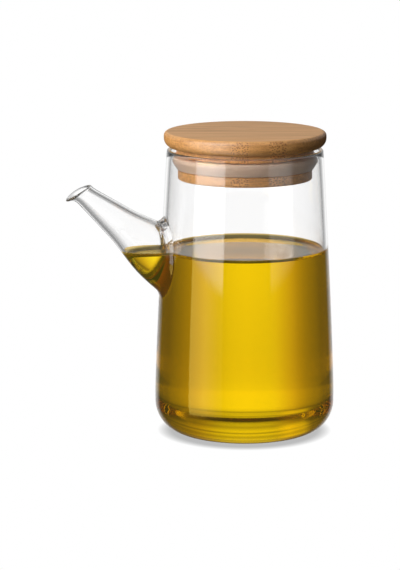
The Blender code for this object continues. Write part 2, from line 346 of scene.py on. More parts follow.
def lip_flare(along, side, inset):
    """How far the skin turns outwards near the mouth: a little on top, and as a pouring lip underneath."""
    near_mouth = np.clip(1.0 - (mouth_along(side) - along) / LIP_LENGTH, 0.0, None)
    underside = ((1.0 - np.cos(side)) / 2.0) ** LIP_UNDER_POWER
    flare = LIP_FLARE_TOP + (LIP_FLARE_UNDER - LIP_FLARE_TOP) * underside
    return flare * (1.0 - LIP_THICKENING * inset / WALL) * near_mouth**LIP_POWER


def spout_outward(side):
    """Direction away from the spout's axis at an angle round it."""
    return np.outer(np.cos(side), SPOUT_UP) + np.outer(np.sin(side), SIDEWAYS)


def spout_points(along, side, inset):
    """Points on the spout's skin, moved inwards by the inset."""
    radius = spout_radius(along, inset) + lip_flare(along, side, inset)
    return SPOUT_START + np.outer(along, SPOUT_ALONG) + radius[:, None] * spout_outward(side)


def body_distance(points, inset):
    """Distance outside the body's skin."""
    return np.hypot(points[:, 0], points[:, 1]) - body_radius(points[:, 2]) + inset


def spout_distance(points, inset):
    """Distance outside the spout's skin, away from its mouth."""
    offset = points - SPOUT_START
    along = offset @ SPOUT_ALONG
    across = np.linalg.norm(offset - np.outer(along, SPOUT_ALONG), axis=1)
    return (across - spout_radius(along, inset)) / math.hypot(1.0, SPOUT_TAPER)


def vessel_distance(points, inset):
    """Distance outside body and spout together, joined by a weld that is rounded on both faces."""
    weld = WELD_ROUND + WELD_ROUND_GROWTH * inset
    body = body_distance(points, inset)
    spout = spout_distance(points, inset)
    corner = np.hypot(np.maximum(weld - body, 0.0), np.maximum(weld - spout, 0.0))
    return np.maximum(weld, np.minimum(body, spout)) - corner


def settle(points, inset):
    """Moves points that are near the vessel's skin straight onto it."""
    for _ in range(SETTLE_ROUNDS):
        ahead = [vessel_distance(points + SETTLE_NUDGE * axis, inset) for axis in np.eye(3)]
        behind = [vessel_distance(points - SETTLE_NUDGE * axis, inset) for axis in np.eye(3)]
        slope = (np.stack(ahead, axis=1) - np.stack(behind, axis=1)) / (2.0 * SETTLE_NUDGE)
        step = vessel_distance(points, inset) / np.maximum((slope**2).sum(axis=1), LEAST_SLOPE_SQUARED)
        points = points - step[:, None] * slope
    return points


def along_at_wall(side, inset):
    """Distance along the spout's axis at which each line of the cone leaves the body, by halving."""
    inside = np.full(len(side), LEAVES_AFTER)
    outside = np.full(len(side), LEAVES_BEFORE)
    for _ in range(HALVINGS):
        middle = (inside + outside) / 2.0
        is_out = body_distance(spout_points(middle, side, inset), inset) > 0.0
        outside = np.where(is_out, middle, outside)
        inside = np.where(is_out, inside, middle)
    return (inside + outside) / 2.0


def arc(centre, radius, start, end, steps):
    """Points (r, z) on a circle from one angle to another, in degrees from the outward direction."""
    angles = np.radians(np.linspace(start, end, steps + 1))
    return [(centre[0] + radius * math.cos(a), centre[1] + radius * math.sin(a)) for a in angles]


def flat_rows(radius, height, punt):
    """Rows across a foot from near its middle outwards, with a soft hollow of the given depth."""
    rows = []
    for part in np.linspace(0.0, 1.0, FLAT_STEPS + 1)[1:-1]:
        reach = min(part * radius / PUNT_RADIUS, 1.0)
        rows.append((part * radius, height + punt * math.cos(reach * math.pi / 2.0) ** 2))
    return rows


def body_profile(inset):
    """Rows (r, z) of the body's skin from its foot to the rim, and the patch's first and last row."""
    floor = FLOOR + inset - WALL if inset else 0.0
    reach, rise = (FLOOR_ROUND, FLOOR_ROUND) if inset else (FOOT_ROUND, FOOT_ROUND_RISE)
    flat = FOOT_RADIUS - inset - reach
    turns = np.radians(np.linspace(0.0, 90.0, ROUND_STEPS + 1))
    rows = flat_rows(flat, floor, PUNT_DEPTH)
    rows += [(flat + reach * math.sin(turn), floor + rise * (1.0 - math.cos(turn))) for turn in turns]
    heights = list(np.linspace(FOOT_HEIGHT, PATCH_LOW, WALL_STEPS + 1))
    low = len(rows) + len(heights) - 1
    heights += list(np.linspace(PATCH_LOW, PATCH_HIGH, PATCH_CELLS + 1))[1:]
    high = len(rows) + len(heights) - 1
    heights += list(np.linspace(PATCH_HIGH, RIM_HEIGHT - WALL / 2.0, NECK_STEPS + 1))[1:]
    rows += [(float(body_radius(height)) - inset, height) for height in heights]
    return rows, low, high


def add_ring(mesh, points):
    """New vertices at the points, in order."""
    return [mesh.verts.new(point) for point in points]


def join_rings(mesh, first, second):
    """A band of four-sided faces between two closed rings of as many vertices."""
    count = len(first)
    for here in range(count):
        after = (here + 1) % count
        mesh.faces.new((first[here], first[after], second[after], second[here]))


def close_ring(mesh, ring, lift=0.0):
    """A fan of faces that closes a round ring, its middle lifted a little."""
    centre = sum((vertex.co for vertex in ring), start=Vector()) / len(ring)
    hub = mesh.verts.new(centre + Vector((0.0, 0.0, lift)))
    for here, vertex in enumerate(ring):
        mesh.faces.new((vertex, ring[(here + 1) % len(ring)], hub))


def patch_edge(grid, low, high):
    """The edge of the open patch as one ring that starts at the middle of its top."""
    middle = PATCH_CELLS // 2
    ring = grid[high][middle:PATCH_CELLS]
    ring += [grid[row][PATCH_CELLS] for row in range(high, low, -1)]
    ring += [grid[low][column] for column in range(PATCH_CELLS, 0, -1)]
    ring += [grid[row][0] for row in range(low, high)]
    ring += grid[high][0:middle]
    return ring


def add_body_skin(mesh, inset):
    """The body's skin, closed below, with its patch left open. Returns the rim and the edge of the patch."""
    rows, low, high = body_profile(inset)
    columns = PATCH_CELLS * PATCHES_ROUND
    grid = []
    for row, (radius, height) in enumerate(rows):
        ring = []
        for column in range(columns):
            if low < row < high and 0 < column < PATCH_CELLS:
                ring.append(None)
                continue
            turn = 2.0 * math.pi * (column - PATCH_CELLS / 2.0) / columns
            ring.append(mesh.verts.new((-radius * math.cos(turn), radius * math.sin(turn), height)))
        grid.append(ring)
    for row in range(len(rows) - 1):
        for column in range(columns):
            if low <= row < high and column < PATCH_CELLS:
                continue
            after = (column + 1) % columns
            corners = (grid[row][column], grid[row][after], grid[row + 1][after], grid[row + 1][column])
            mesh.faces.new(corners)
    close_ring(mesh, grid[0])
    return grid[-1], patch_edge(grid, low, high)


def add_spout_skin(mesh, edge, inset):
    """The skin from the patch's edge over the weld and along the spout. Returns the ring at the mouth."""
    side = 2.0 * math.pi * np.arange(len(edge)) / len(edge)
    start = np.array([vertex.co for vertex in edge])
    leaves = along_at_wall(side, inset)
    corner = spout_points(leaves, side, inset)
    collar = spout_points(leaves + COLLAR, side, inset)
    ring = edge
    for part in np.linspace(0.0, 1.0, WELD_STEPS + 1)[1:]:
        bend = (1.0 - part) ** 2 * start + 2.0 * part * (1.0 - part) * corner + part**2 * collar
        wider = add_ring(mesh, settle(bend, inset))
        join_rings(mesh, ring, wider)
        ring = wider
    for part in 1.0 - np.linspace(1.0, 0.0, SPOUT_STEPS + 1)[1:] ** SPOUT_CROWDING:
        along = (1.0 - part) * (leaves + COLLAR) + part * mouth_along(side)
        further = add_ring(mesh, spout_points(along, side, inset))
        join_rings(mesh, ring, further)
        ring = further
    return ring


def add_vessel_skin(mesh, inset):
    """The whole skin of body and spout. Returns its two open rings, at the rim and at the mouth."""
    rim, edge = add_body_skin(mesh, inset)
    mouth = add_spout_skin(mesh, edge, inset)
    return rim, mouth


def add_round_edge(mesh, outer, inner, forward):
    """Joins an outer and an inner ring by half-round glass that stands forward of them."""
    outside = np.array([vertex.co for vertex in outer])
    inside = np.array([vertex.co for vertex in inner])
    middle = (outside + inside) / 2.0
    reach = (outside - inside) / 2.0
    depth = np.linalg.norm(reach, axis=1)[:, None]
    ring = outer
    for turn in np.linspace(0.0, math.pi, RIM_STEPS + 1)[1:-1]:
        following = add_ring(mesh, middle + math.cos(turn) * reach + math.sin(turn) * depth * forward)
        join_rings(mesh, ring, following)
        ring = following
    join_rings(mesh, ring, inner)


def lip_forward(count):
    """Direction in which the glass runs on at the mouth, all round it."""
    side = 2.0 * math.pi * np.arange(count) / count
    step = 1e-4
    before = spout_points(mouth_along(side) - step, side, WALL / 2.0)
    after = spout_points(mouth_along(side), side, WALL / 2.0)
    return (after - before) / np.linalg.norm(after - before, axis=1)[:, None]


def add_piece(name, mesh, material, body="root", sharp=60.0):
    """Puts a bmesh into the scene as one smooth piece that rides on the bottle."""
    bmesh.ops.recalc_face_normals(mesh, faces=mesh.faces)
    data = bpy.data.meshes.new(name)
    mesh.to_mesh(data)
    mesh.free()
    data.shade_smooth()
    data.set_sharp_from_angle(angle=math.radians(sharp))
    data.materials.append(material)
    piece = bpy.data.objects.new(name, data)
    bpy.context.scene.collection.objects.link(piece)
    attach(piece, body)
    return piece


def grey(level):
    """A neutral colour of the given brightness."""
    return (level, level, level, 1.0)


def new_material(name):
    """A material with its node tree and its Principled shader."""
    material = bpy.data.materials.new(name)
    material.use_nodes = True
    tree = material.node_tree
    return material, tree, tree.nodes["Principled BSDF"]


def clear_material(name, ior, tint=grey(1.0), glow=0.0):
    """Something perfectly clear and smooth that bends light by the given index, perhaps with a faint glow."""
    material, _, shader = new_material(name)
    shader.inputs["Base Color"].default_value = tint
    shader.inputs["Roughness"].default_value = 0.0
    shader.inputs["IOR"].default_value = ior
    shader.inputs["Transmission Weight"].default_value = 1.0
    shader.inputs["Emission Color"].default_value = grey(1.0)
    shader.inputs["Emission Strength"].default_value = glow
    material.cycles.emission_sampling = "NONE"
    return material


def oil_material():
    """Golden oil. It bends light at its open surface only, because the glass bends light as much as it does.

    A very faint glow stands in for the little light that real oil scatters.
    """
    material = clear_material("oil", GLASS_IOR, OIL_TINT, OIL_GLOW_STRENGTH)
    tree = material.node_tree
    shader = tree.nodes["Principled BSDF"]
    shader.inputs["Emission Color"].default_value = OIL_GLOW
    is_open = tree.nodes.new("ShaderNodeAttribute")
    is_open.attribute_name = "open_surface"
    index = tree.nodes.new("ShaderNodeMapRange")
    index.inputs["To Min"].default_value = WETTED_IOR
    index.inputs["To Max"].default_value = GLASS_IOR
    tree.links.new(is_open.outputs["Fac"], index.inputs["Value"])
    tree.links.new(index.outputs["Result"], shader.inputs["IOR"])
    absorption = tree.nodes.new("ShaderNodeVolumeAbsorption")
    absorption.inputs["Color"].default_value = OIL_COLOUR
    absorption.inputs["Density"].default_value = OIL_DENSITY
    tree.links.new(absorption.outputs["Volume"], tree.nodes["Material Output"].inputs["Volume"])
    return material


def make_glass():
    """Body and spout as one piece of clear glass, whose inner wall is wetted up to the oil's edge.

    Its very faint glow stands in for light that stays caught in its edges for too many turns to follow.
    """
    mesh = bmesh.new()
    outer_rim, outer_mouth = add_vessel_skin(mesh, 0.0)
    is_inner = mesh.faces.layers.int.new("is_inner")
    outer_faces = set(mesh.faces)
    inner_rim, inner_mouth = add_vessel_skin(mesh, WALL)
    inner_faces = [face for face in mesh.faces if face not in outer_faces]
    for face in inner_faces:
        face[is_inner] = 1
    add_round_edge(mesh, outer_rim, inner_rim, UP)
    add_round_edge(mesh, outer_mouth, inner_mouth, lip_forward(len(outer_mouth)))
    edges = {edge for face in inner_faces for edge in face.edges}
    points = {vertex for face in inner_faces for vertex in face.verts}
    bmesh.ops.bisect_plane(
        mesh,
        geom=list(points) + list(edges) + inner_faces,
        dist=CUT_TOLERANCE,
        plane_co=(0.0, 0.0, WETTED_HEIGHT),
        plane_no=(0.0, 0.0, 1.0),
    )
    for face in mesh.faces:
        if face[is_inner] == 1 and face.calc_center_median().z < WETTED_HEIGHT:
            face.material_index = 1
    clear_glass = clear_material("clear_glass", GLASS_IOR, glow=GLASS_GLOW)
    glass = add_piece("clear_glass_vessel", mesh, clear_glass)
    glass.data.materials.append(clear_material("wetted_glass", WETTED_IOR))
    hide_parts("glass_bottle")


def ordered_waterline(mesh):
    """The open edge left by the level cut, as one ring of vertices in order."""
    start = next(edge for edge in mesh.edges if edge.is_boundary).verts[0]
    ring = [start]
    last = None
    here = start
    while True:
        step = next(edge for edge in here.link_edges if edge.is_boundary and edge is not last)
        here = step.other_vert(here)
        last = step
        if here is start:
            return ring
        ring.append(here)


def inward_directions(points):
    """Level directions that point into a closed ring of points, square to it."""
    along = np.roll(points, -1, axis=0) - np.roll(points, 1, axis=0)
    inward = np.stack([-along[:, 1], along[:, 0], np.zeros(len(points))], axis=1)
    inward /= np.linalg.norm(inward, axis=1)[:, None]
    x, y = points[:, 0], points[:, 1]
    area = np.sum(x * np.roll(y, -1) - np.roll(x, -1) * y)
    return inward if area > 0.0 else -inward


def meniscus_reach(height):
    """Distance from a flat wall at which a liquid's edge still stands so high above its level."""
    def flattening(rise):
        return math.sqrt(4.0 * CAPILLARY_LENGTH**2 - rise**2)

    def falling(rise):
        return CAPILLARY_LENGTH * math.acosh(2.0 * CAPILLARY_LENGTH / rise)

    reach = falling(height) - falling(MENISCUS_HEIGHT)
    return reach + flattening(MENISCUS_HEIGHT) - flattening(height)


def make_oil():
    """The oil up to its level, climbing the wall all round in a fine meniscus."""
    mesh = bmesh.new()
    is_open = mesh.faces.layers.float.new("open_surface")
    rim, mouth = add_vessel_skin(mesh, WALL - OIL_INTO_WALL)
    close_ring(mesh, rim)
    close_ring(mesh, mouth)
    bmesh.ops.bisect_plane(
        mesh,
        geom=list(mesh.verts) + list(mesh.edges) + list(mesh.faces),
        dist=CUT_TOLERANCE,
        plane_co=(0.0, 0.0, WETTED_HEIGHT),
        plane_no=(0.0, 0.0, 1.0),
        clear_outer=True,
    )
    ring = ordered_waterline(mesh)
    wall = np.array([vertex.co for vertex in ring])
    inward = inward_directions(wall)
    lower = add_ring(mesh, wall + inward * OIL_INTO_WALL)
    join_rings(mesh, ring, lower)
    closed = set(mesh.faces)
    ring = lower
    for part in np.linspace(1.0, 0.0, MENISCUS_STEPS + 1)[1:-1]:
        height = MENISCUS_HEIGHT * part**2
        reach = OIL_INTO_WALL + meniscus_reach(height)
        lower = add_ring(mesh, wall + inward * reach - UP * (MENISCUS_HEIGHT - height))
        join_rings(mesh, ring, lower)
        ring = lower
    edges = [edge for edge in mesh.edges if edge.is_boundary]
    bmesh.ops.triangle_fill(mesh, use_beauty=True, edges=edges)
    for face in mesh.faces:
        face[is_open] = 0.0 if face in closed else 1.0
    oil = add_piece("golden_oil", mesh, oil_material())
    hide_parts("oil")


def turn_profile(mesh, profile, is_ring=False):
    """Turns points (r, z) round Z. The profile starts and ends on the axis, unless it is that of a ring."""
    rings = []
    for radius, height in profile:
        if radius < ON_AXIS:
            rings.append([mesh.verts.new((0.0, 0.0, height))])
            continue
        turns = [2.0 * math.pi * column / LID_COLUMNS for column in range(LID_COLUMNS)]
        points = [(radius * math.cos(turn), radius * math.sin(turn), height) for turn in turns]
        rings.append(add_ring(mesh, points))
    pairs = list(zip(rings, rings[1:]))
    if is_ring:
        pairs.append((rings[-1], rings[0]))
    for first, second in pairs:
        if len(first) == len(second):
            join_rings(mesh, first, second)
            continue
        hub, ring = (first[0], second) if len(first) == 1 else (second[0], first)
        for here, vertex in enumerate(ring):
            mesh.faces.new((vertex, ring[(here + 1) % len(ring)], hub))


def rounded(corner, radius, start, end):
    """A small round of a profile, whose sharp corner is (r, z), between two directions in degrees."""
    inward = math.radians((start + end) / 2.0)
    reach = radius * math.sqrt(2.0)
    centre = (corner[0] - reach * math.cos(inward), corner[1] - reach * math.sin(inward))
    return arc(centre, radius, start, end, EDGE_STEPS)


def lid_heights():
    """Heights of the lid's steps, from its top down."""
    underside = LID_HIGH[2] - LID_THICKNESS
    groove_top = underside - NECK_HEIGHT
    groove_bottom = groove_top - GROOVE_HEIGHT
    return LID_HIGH[2], underside, groove_top, groove_bottom, groove_bottom - PLUG_HEIGHT


def make_lid():
    """The bamboo lid: a disc on the rim, a neck, a groove for the seal and a plug below it."""
    top, underside, groove_top, groove_bottom, plug_bottom = lid_heights()
    upper = (LID_RADIUS - LID_TOP_ROUND, top - LID_TOP_ROUND)
    lower = (LID_RADIUS - LID_UNDER_ROUND, underside + LID_UNDER_ROUND)
    profile = [(0.0, top)]
    profile += arc(upper, LID_TOP_ROUND, 90.0, 0.0, LID_TOP_STEPS)
    profile += arc(lower, LID_UNDER_ROUND, 0.0, -90.0, LID_UNDER_STEPS)
    profile += [(NECK_RADIUS, underside)]
    profile += rounded((NECK_RADIUS, groove_top), TURNED_EDGE, 0.0, -90.0)
    profile += [(GROOVE_RADIUS, groove_top), (GROOVE_RADIUS, groove_bottom)]
    profile += rounded((PLUG_RADIUS, groove_bottom), TURNED_EDGE, 90.0, 0.0)
    profile += rounded((PLUG_RADIUS, plug_bottom), PLUG_ROUND, 0.0, -90.0)
    profile += [(0.0, plug_bottom)]
    mesh = bmesh.new()
    turn_profile(mesh, profile)
    lid = add_piece("turned_bamboo_lid", mesh, bamboo_material(), sharp=50.0)
    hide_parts("bamboo_lid")


def make_seal():
    """The silicone ring: a lip that reaches out to the glass, sloping in to the plug below."""
    _, _, groove_top, groove_bottom, _ = lid_heights()
    inner = GROOVE_RADIUS + GAP
    top = groove_top - GAP
    bottom = groove_bottom + GAP
    belly = top - SEAL_LIP_HEIGHT
    profile = [(inner, top)]
    profile += rounded((SEAL_LIP_RADIUS, top), SEAL_EDGE, 90.0, 0.0)
    for part in np.linspace(0.0, 1.0, SEAL_POINTS):
        radius = SEAL_LIP_RADIUS - (SEAL_LIP_RADIUS - SEAL_FOOT_RADIUS) * part**SEAL_BULGE_POWER
        profile.append((radius, belly - (belly - bottom) * part))
    profile += [(inner, bottom)]
    mesh = bmesh.new()
    turn_profile(mesh, profile, is_ring=True)
    seal = add_piece("silicone_ring", mesh, silicone_material())
    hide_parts("silicone_seal")


class Nodes:
    """Short ways to add and join the nodes of one tree. Ranges and windows are given by their numbers."""

    def __init__(self, tree):
        self.tree = tree

    def add(self, kind, **settings):
        """A new node with the given settings."""
        node = self.tree.nodes.new(kind)
        for name, value in settings.items():
            setattr(node, name, value)
        return node

    def feed(self, node, slot, value):
        """Gives an input a number, a vector or the output of another node."""
        if isinstance(value, bpy.types.NodeSocket):
            self.tree.links.new(value, node.inputs[slot])
        else:
            node.inputs[slot].default_value = value

    def math(self, operation, first, second=0.0):
        """One sum of two numbers."""
        node = self.add("ShaderNodeMath", operation=operation)
        self.feed(node, 0, first)
        self.feed(node, 1, second)
        return node.outputs[0]

    def times(self, first, second):
        """Multiplies two numbers."""
        return self.math("MULTIPLY", first, second)

    def spread(self, value, low, high, to_low=0.0, to_high=1.0, smooth=False):
        """Carries a value from one range to another, held at both ends."""
        node = self.add("ShaderNodeMapRange", clamp=True)
        node.interpolation_type = "SMOOTHSTEP" if smooth else "LINEAR"
        self.feed(node, "Value", value)
        self.feed(node, "From Min", low)
        self.feed(node, "From Max", high)
        self.feed(node, "To Min", to_low)
        self.feed(node, "To Max", to_high)
        return node.outputs["Result"]

    def window(self, value, low, high, edge):
        """One between low and high, nought outside, with soft edges."""
        rising = self.spread(value, low - edge, low + edge, smooth=True)
        falling = self.spread(value, high - edge, high + edge, 1.0, 0.0, smooth=True)
        return self.times(rising, falling)

    def curve(self, value, low, high, stops):
        """A brightness that runs through the given stops, each a place from low to high and a brightness."""
        node = self.add("ShaderNodeValToRGB")
        elements = node.color_ramp.elements
        while len(elements) < len(stops):
            elements.new(0.5)
        for element, (place, brightness) in zip(elements, stops):
            element.position = (place - low) / (high - low)
            element.color = grey(brightness)
        self.feed(node, "Fac", self.spread(value, low, high))
        return node.outputs["Color"]

    def mix(self, factor, first, second, blend="MIX"):
        """Mixes two colours."""
        node = self.add("ShaderNodeMix", data_type="RGBA", blend_type=blend)
        self.feed(node, 0, factor)
        self.feed(node, 6, first)
        self.feed(node, 7, second)
        return node.outputs[2]

    def tint(self, first, second):
        """Multiplies two colours."""
        return self.mix(1.0, first, second, "MULTIPLY")

    def sum(self, first, second):
        """Adds two colours."""
        return self.mix(1.0, first, second, "ADD")

    def noise(self, place, scale=1.0, detail=3.0, roughness=0.55, distortion=0.0):
        """Soft noise from 0 to 1."""
        node = self.add("ShaderNodeTexNoise")
        self.feed(node, "Vector", place)
        self.feed(node, "Scale", scale)
        self.feed(node, "Detail", detail)
        self.feed(node, "Roughness", roughness)
        self.feed(node, "Distortion", distortion)
        return node.outputs["Fac"]

    def stretched(self, place, scale, shift=(0.0, 0.0, 0.0)):
        """Coordinates drawn out differently along each axis."""
        node = self.add("ShaderNodeMapping")
        self.feed(node, "Vector", place)
        self.feed(node, "Scale", scale)
        self.feed(node, "Location", shift)
        return node.outputs["Vector"]

    def turned(self, place, angle):
        """Coordinates turned round Z."""
        node = self.add("ShaderNodeVectorRotate", rotation_type="Z_AXIS")
        self.feed(node, "Vector", place)
        self.feed(node, "Angle", angle)
        return node.outputs["Vector"]

    def split(self, vector):
        """The three parts of a vector."""
        node = self.add("ShaderNodeSeparateXYZ")
        self.feed(node, 0, vector)
        return node.outputs[0], node.outputs[1], node.outputs[2]


def bamboo_grain(nodes, place, grain, is_level):
    """Colour of the wood: fine grain, broad warm bands, and dark lines on the level faces."""
    broad = nodes.noise(nodes.stretched(place, BROAD_CELLS), detail=3.0, roughness=0.5, distortion=0.2)
    lines = nodes.noise(
        nodes.stretched(place, LINE_CELLS, LINE_SHIFT), detail=3.0, roughness=0.65, distortion=0.2
    )
    colour = nodes.mix(nodes.spread(grain, *GRAIN_RANGE), BAMBOO_DARK, BAMBOO_LIGHT)
    colour = nodes.mix(nodes.spread(broad, *BROAD_RANGE, 0.0, BROAD_STRENGTH), colour, BAMBOO_WARM)
    lines = nodes.times(nodes.spread(lines, *LINE_RANGE, 0.0, LINE_STRENGTH), is_level)
    return nodes.mix(lines, colour, BAMBOO_DARK)


def bamboo_dots(nodes, across, height, is_speckled, is_side):
    """Dark fibre ends on the lid's side, strongest on the strips that face the front."""
    face = nodes.add("ShaderNodeCombineXYZ")
    nodes.feed(face, "X", nodes.times(across, SPECKS_ACROSS))
    nodes.feed(face, "Y", nodes.times(height, SPECKS_UP))
    specks = nodes.add("ShaderNodeTexVoronoi", feature="F1", voronoi_dimensions="2D")
    nodes.feed(specks, "Vector", face.outputs["Vector"])
    nodes.feed(specks, "Scale", 1.0)
    nodes.feed(specks, "Randomness", SPECK_SCATTER)
    dots = nodes.spread(specks.outputs["Distance"], *SPECK_RANGE, 1.0, 0.0, smooth=True)
    is_front = nodes.window(across, *SPECKLED_FRONT)
    strength = nodes.times(is_speckled, nodes.spread(is_front, 0.0, 1.0, SPECKS_ELSEWHERE, 1.0))
    strength = nodes.math("MAXIMUM", strength, SPECKS_LEAST)
    return nodes.times(dots, nodes.times(strength, is_side))


def bamboo_streaks(nodes, place, is_speckled, is_side):
    """Short level streaks on the lid's side, between the strips of fibre ends."""
    streaks = nodes.noise(nodes.stretched(place, STREAK_CELLS), detail=3.0, roughness=0.6)
    streaks = nodes.times(nodes.spread(streaks, *STREAK_RANGE), is_side)
    return nodes.times(streaks, nodes.math("SUBTRACT", 1.0, is_speckled))


def bamboo_knuckle(nodes, place, across, deep, is_level):
    """The brown knuckle of the cane, on the top towards the back."""
    knuckle = nodes.noise(
        nodes.stretched(place, KNUCKLE_CELLS, KNUCKLE_SHIFT), detail=4.0, roughness=0.6, distortion=0.6
    )
    is_knuckle = nodes.times(nodes.window(across, *KNUCKLE_ACROSS), nodes.window(deep, *KNUCKLE_DEEP))
    return nodes.times(nodes.times(nodes.spread(knuckle, *KNUCKLE_RANGE), is_knuckle), is_level)


def bamboo_material():
    """Laminated bamboo: long fine grain across the lid, and strips with dark fibre ends round its edge."""
    material, tree, shader = new_material("bamboo")
    nodes = Nodes(tree)
    place = nodes.turned(nodes.add("ShaderNodeTexCoord").outputs["Object"], -VIEW_AZIMUTH)
    across, deep, height = nodes.split(place)
    facing = nodes.split(nodes.add("ShaderNodeTexCoord").outputs["Normal"])[2]
    is_side = nodes.spread(nodes.math("ABSOLUTE", facing), LEVEL_FACING, SLOPING_FACING, smooth=True)
    is_level = nodes.math("SUBTRACT", 1.0, is_side)
    is_top = nodes.spread(facing, SLOPING_FACING, LEVEL_FACING, smooth=True)
    strip = nodes.math("DIVIDE", nodes.math("SUBTRACT", across, STRIP_EDGE), STRIP_PAIR)
    is_speckled = nodes.window(nodes.math("FRACT", strip), *SPECKLED_STRIP)

    grain = nodes.noise(nodes.stretched(place, GRAIN_CELLS), detail=5.0, roughness=0.70, distortion=0.3)
    dots = bamboo_dots(nodes, across, height, is_speckled, is_side)
    streaks = bamboo_streaks(nodes, place, is_speckled, is_side)
    knuckle = bamboo_knuckle(nodes, place, across, deep, is_level)
    colour = bamboo_grain(nodes, place, grain, is_level)
    colour = nodes.mix(nodes.times(streaks, STREAK_STRENGTH), colour, BAMBOO_SPECK)
    colour = nodes.mix(nodes.times(dots, SPECK_STRENGTH), colour, BAMBOO_SPECK)
    colour = nodes.mix(nodes.times(knuckle, KNUCKLE_STRENGTH), colour, BAMBOO_SPECK)

    # Painted light and sheen: the colour below the disc's underside is made lighter, standing in for light on
    # the neck and plug
    underside = lid_heights()[1]
    is_plug = nodes.spread(height, underside - PLUG_FADE, underside, 1.0, 0.0)
    colour = nodes.mix(is_plug, colour, nodes.tint(colour, PLUG_PAINTED_LIGHT))
    # Painted sheen: the colour of the lid's top face is made paler and greyer, standing in for sheen
    colour = nodes.mix(is_top, colour, nodes.tint(colour, TOP_PAINTED_SHEEN))

    nodes.feed(shader, "Base Color", colour)
    nodes.feed(shader, "Roughness", nodes.spread(grain, *ROUGH_RANGE, *BAMBOO_ROUGHNESS))
    shader.inputs["Specular IOR Level"].default_value = BAMBOO_SHINE
    bump = nodes.add("ShaderNodeBump")
    nodes.feed(bump, "Strength", BUMP_STRENGTH)
    nodes.feed(bump, "Distance", BUMP_DEPTH)
    nodes.feed(bump, "Height", nodes.math("SUBTRACT", grain, nodes.times(dots, SPECK_DEPTH)))
    nodes.feed(shader, "Normal", bump.outputs["Normal"])
    return material


def silicone_material():
    """Translucent greyish-white silicone with a soft bloom."""
    material, tree, shader = new_material("silicone")
    nodes = Nodes(tree)
    place = nodes.add("ShaderNodeTexCoord").outputs["Object"]
    bloom = nodes.noise(place, scale=BLOOM_CELLS, detail=3.0, roughness=0.6)
    nodes.feed(shader, "Base Color", nodes.mix(bloom, SILICONE_DARK, SILICONE_LIGHT))
    nodes.feed(shader, "Roughness", nodes.spread(bloom, *ROUGH_RANGE, *SILICONE_ROUGHNESS))
    shader.inputs["IOR"].default_value = SILICONE_IOR
    shader.inputs["Subsurface Weight"].default_value = SILICONE_SCATTER
    shader.inputs["Subsurface Radius"].default_value = SILICONE_SCATTER_TINT
    shader.inputs["Subsurface Scale"].default_value = SILICONE_SCATTER_REACH
    return material


def floor_material():
    """A white studio floor that glows evenly, with a soft neutral shade close to whatever stands on it."""
    material, tree, shader = new_material("studio_floor")
    nodes = Nodes(tree)
    nearness = nodes.add("ShaderNodeAmbientOcclusion", samples=CONTACT_SAMPLES)
    nodes.feed(nearness, "Distance", CONTACT_REACH)
    shade = nodes.spread(nearness.outputs["AO"], CONTACT_CLOSED, 1.0, CONTACT_SHADE, 1.0)
    glow = nodes.add("ShaderNodeEmission")
    nodes.feed(glow, "Color", shade)
    tree.nodes.remove(shader)
    tree.links.new(glow.outputs["Emission"], tree.nodes["Material Output"].inputs["Surface"])
    return material


def make_floor():
    """The floor. Only the camera sees it: what glass and oil show of the studio comes from the world."""
    mesh = bmesh.new()
    bmesh.ops.create_grid(mesh, x_segments=1, y_segments=1, size=STUDIO_HALF)
    data = bpy.data.meshes.new("studio_floor")
    mesh.to_mesh(data)
    mesh.free()
    data.materials.append(floor_material())
    floor = bpy.data.objects.new("studio_floor", data)
    bpy.context.scene.collection.objects.link(floor)
    floor.location.z = -STUDIO_DROP
    floor.visible_diffuse = False
    floor.visible_glossy = False
    floor.visible_transmission = False
    floor.visible_shadow = False


def studio_directions(nodes):
    """Where a ray looks: its direction from the camera's view, and its turn and its rise in degrees."""
    towards = nodes.turned(nodes.add("ShaderNodeTexCoord").outputs["Generated"], -VIEW_AZIMUTH)
    right, ahead, up = nodes.split(towards)
    turn = nodes.times(nodes.math("ARCTAN2", right, ahead), math.degrees(1.0))
    rise = nodes.times(nodes.math("ARCSINE", up), math.degrees(1.0))
    return towards, turn, rise


def studio_softboxes(nodes, turn, rise):
    """Brightness of the two tall softboxes beside the camera, on its left and on its right."""
    left_upper = nodes.window(turn, *LEFT_SOFTBOX_TURN)
    left_lower = nodes.times(left_upper, nodes.spread(turn, *LEFT_SOFTBOX_FADE))
    right = nodes.times(nodes.window(turn, *RIGHT_SOFTBOX_TURN), RIGHT_SOFTBOX)
    right_lower = nodes.times(right, RIGHT_SOFTBOX_LOWER)
    upper = nodes.math("ADD", nodes.times(left_upper, LEFT_SOFTBOX * LEFT_SOFTBOX_UPPER), right)
    lower = nodes.math("ADD", nodes.times(left_lower, LEFT_SOFTBOX), right_lower)
    is_upper = nodes.spread(rise, *SOFTBOX_UPPER_RISE, smooth=True)
    both = nodes.mix(is_upper, nodes.tint(lower, SOFTBOX_LOWER_TINT), upper)
    return nodes.tint(both, nodes.window(rise, *SOFTBOX_RISE))


def light_through_air(nodes, backdrop, by_rise, aside, rise):
    """What dry glass shows of the backdrop: never too dark or bright, dimmer above and near the camera."""
    light = nodes.mix(1.0, nodes.tint(backdrop, by_rise), grey(DRY_LIMIT), "DARKEN")
    light = nodes.mix(1.0, light, grey(DRY_LEAST), "LIGHTEN")
    light = nodes.tint(light, nodes.spread(aside, *NEAR_SIDE, 1.0, DRY_NEAR_SIDE))
    dim = nodes.times(nodes.spread(rise, *DIM_ABOVE_RISE), DIM_ABOVE)
    return nodes.mix(dim, light, grey(0.0))


